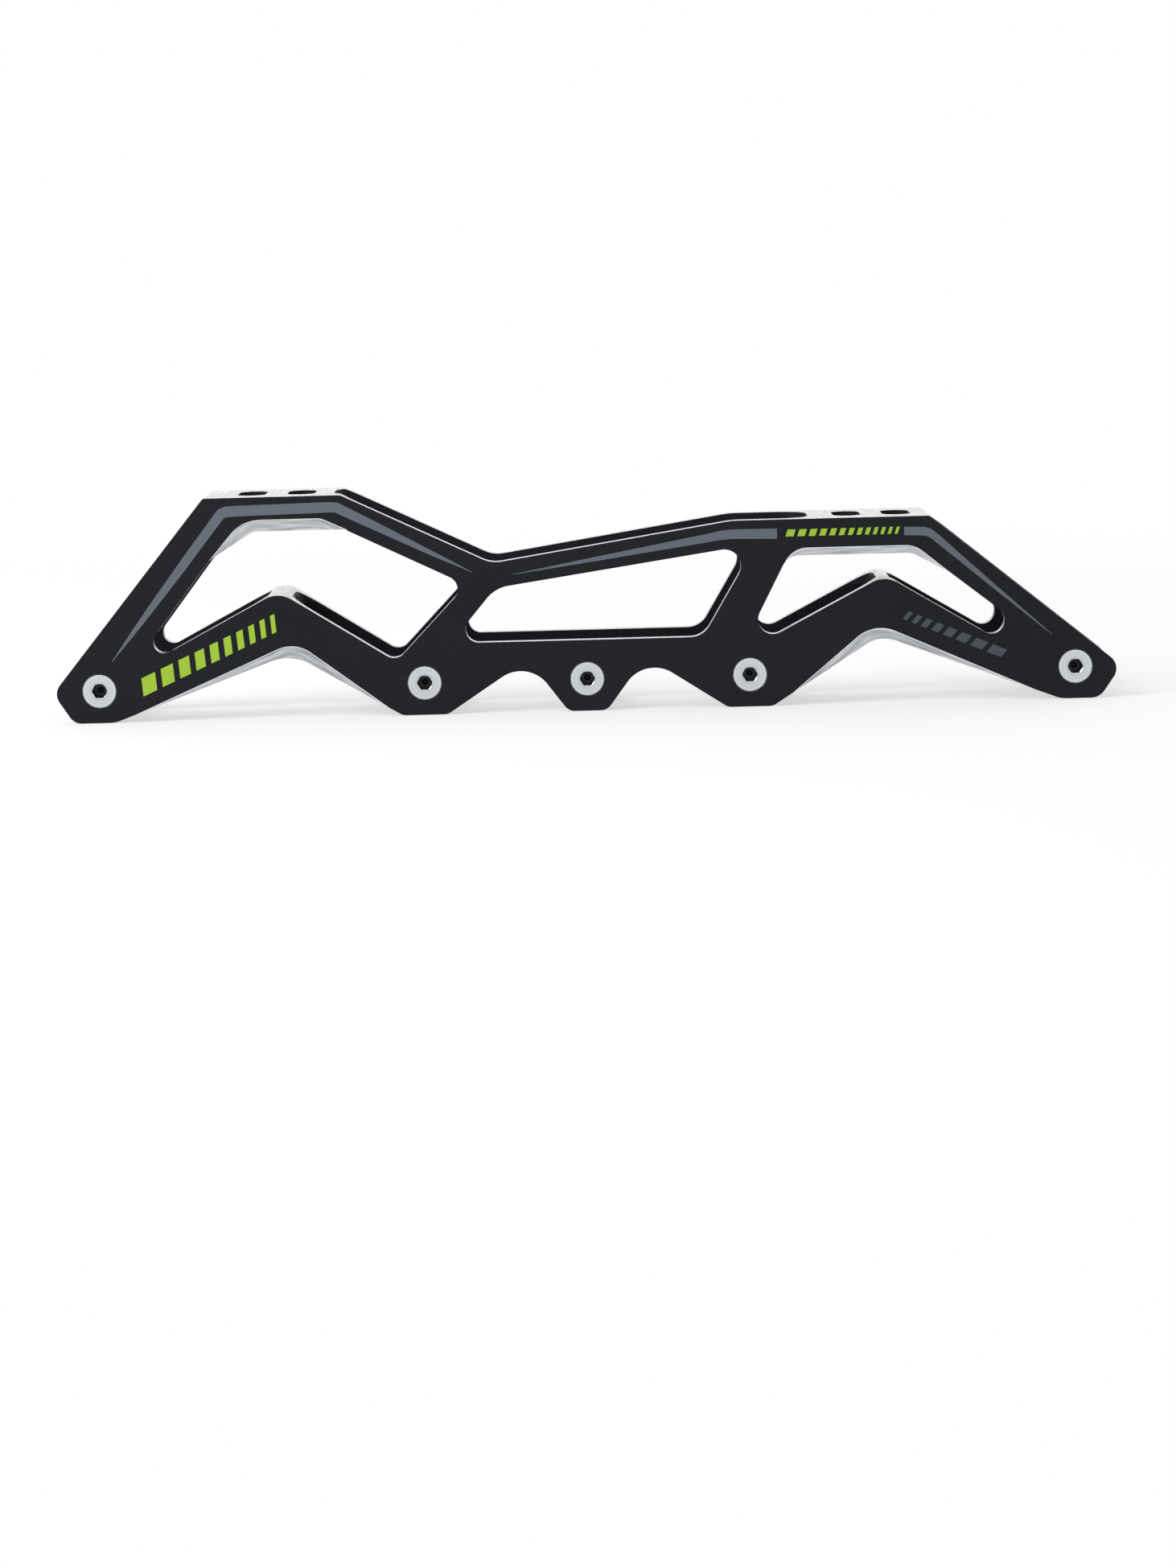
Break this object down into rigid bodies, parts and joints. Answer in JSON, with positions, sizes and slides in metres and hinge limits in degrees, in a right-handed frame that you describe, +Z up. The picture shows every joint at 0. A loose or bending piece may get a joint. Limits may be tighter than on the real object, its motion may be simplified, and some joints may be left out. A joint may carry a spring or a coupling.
{
  "type": "inline skate frame",
  "caption": "One-piece black anodised inline skate frame with windowed side walls, slotted heel and toe platforms and removable screw-in steel wheel axles.",
  "frame": {"origin": "on the ground plane under the feet of the lugs, midway between the two end axles and midway between the walls", "axes": "+X to the toe, +Y to the wall with the threaded holes, +Z up to the boot"},
  "size_m": [0.3198, 0.0346, 0.067],
  "materials": {
    "anodised": "fine bead-blasted black anodised aluminium with bare milled facets and printed stripes",
    "steel": "turned and zinc-plated steel"
  },
  "bodies": {
    "frame": {"frame": "anodised"},
    "axle_1": {"axle_1": "steel"},
    "axle_2": {"axle_2": "steel"},
    "axle_3": {"axle_3": "steel"},
    "axle_4": {"axle_4": "steel"},
    "axle_5": {"axle_5": "steel"}
  },
  "joints": [
    {"name": "axle_1_draw", "type": "slide", "parent": "frame", "child": "axle_1", "axis": [0, -1, 0], "range_m": [0, 0.04]},
    {"name": "axle_2_draw", "type": "slide", "parent": "frame", "child": "axle_2", "axis": [0, -1, 0], "range_m": [0, 0.04]},
    {"name": "axle_3_draw", "type": "slide", "parent": "frame", "child": "axle_3", "axis": [0, -1, 0], "range_m": [0, 0.04]},
    {"name": "axle_4_draw", "type": "slide", "parent": "frame", "child": "axle_4", "axis": [0, -1, 0], "range_m": [0, 0.04]},
    {"name": "axle_5_draw", "type": "slide", "parent": "frame", "child": "axle_5", "axis": [0, -1, 0], "range_m": [0, 0.04]}
  ]
}
